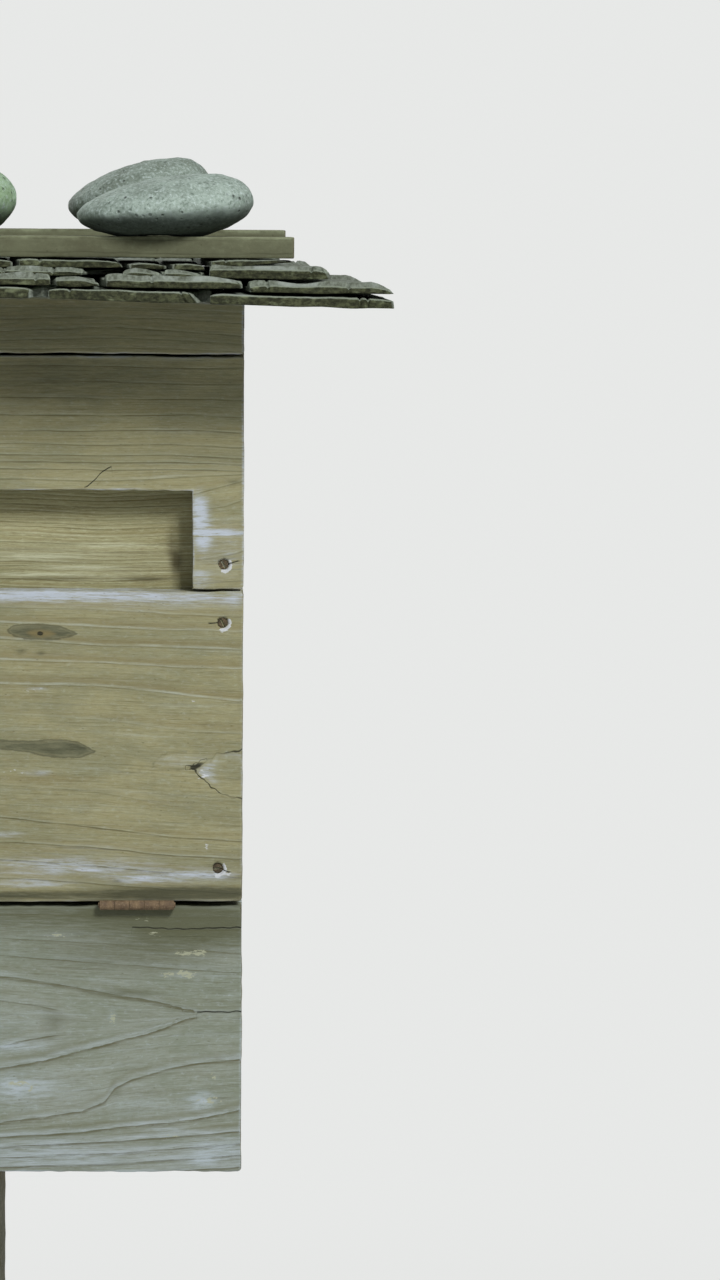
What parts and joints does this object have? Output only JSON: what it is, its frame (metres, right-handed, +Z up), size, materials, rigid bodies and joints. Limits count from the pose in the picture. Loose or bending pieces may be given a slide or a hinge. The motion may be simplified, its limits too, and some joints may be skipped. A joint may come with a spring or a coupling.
{
  "type": "wooden dovecote",
  "caption": "Small wooden dovecote: a box of weathered boards on a post, with a wide closed recess, a hinged clean-out flap and a shake roof held down by river stones.",
  "frame": {"origin": "middle of the flat foot of the post, at ground level", "axes": "+Z up, +Y from the front to the back, +X to the right as seen from the front"},
  "size_m": [0.598, 0.492, 1.5862],
  "materials": {
    "front_boards": "weathered, worn",
    "lower_boards": "weathered, silvered",
    "recess_wood": "weathered, warm",
    "side_boards": "weathered",
    "shake_wood": "split, silver grey",
    "press_wood": "clean cut",
    "post_wood": "weathered, sawn",
    "rusty_iron": "rusted",
    "river_stone": "smooth, pitted"
  },
  "bodies": {
    "box": {"back_bearer": "post_wood", "back_left_stone": "river_stone", "back_lower_board": "side_boards", "back_middle_board": "side_boards", "back_middle_stone": "river_stone", "back_press_board": "press_wood", "back_right_stone": "river_stone", "back_upper_board": "side_boards", "floor_board": "side_boards", "front_bearer": "post_wood", "front_left_stone": "river_stone", "front_middle_board": "front_boards", "front_middle_stone": "river_stone", "front_notched_board": "front_boards", "front_press_board": "press_wood", "front_right_stone": "river_stone", "front_top_rail": "front_boards", "left_hinge_fixed_leaf": "rusty_iron", "left_hinge_pin": "rusty_iron", "left_lower_board": "side_boards", "left_middle_board": "side_boards", "left_upper_board": "side_boards", "post": "post_wood", "recess_board": "recess_wood", "right_hinge_fixed_leaf": "rusty_iron", "right_hinge_pin": "rusty_iron", "right_lower_board": "side_boards", "right_middle_board": "side_boards", "right_upper_board": "side_boards", "roof_deck": "side_boards", "shake_course_1": "shake_wood", "shake_course_2": "shake_wood", "shake_course_3": "shake_wood", "shake_course_4": "shake_wood"},
    "flap": {"front_flap": "lower_boards", "left_hinge_flap_leaf": "rusty_iron", "right_hinge_flap_leaf": "rusty_iron"}
  },
  "joints": [
    {"name": "flap_hinge", "type": "hinge", "parent": "box", "child": "flap", "pos_m": [0, -0.1545, 1.0833], "axis": [-1, 0, 0], "range_deg": [0, 165]}
  ]
}
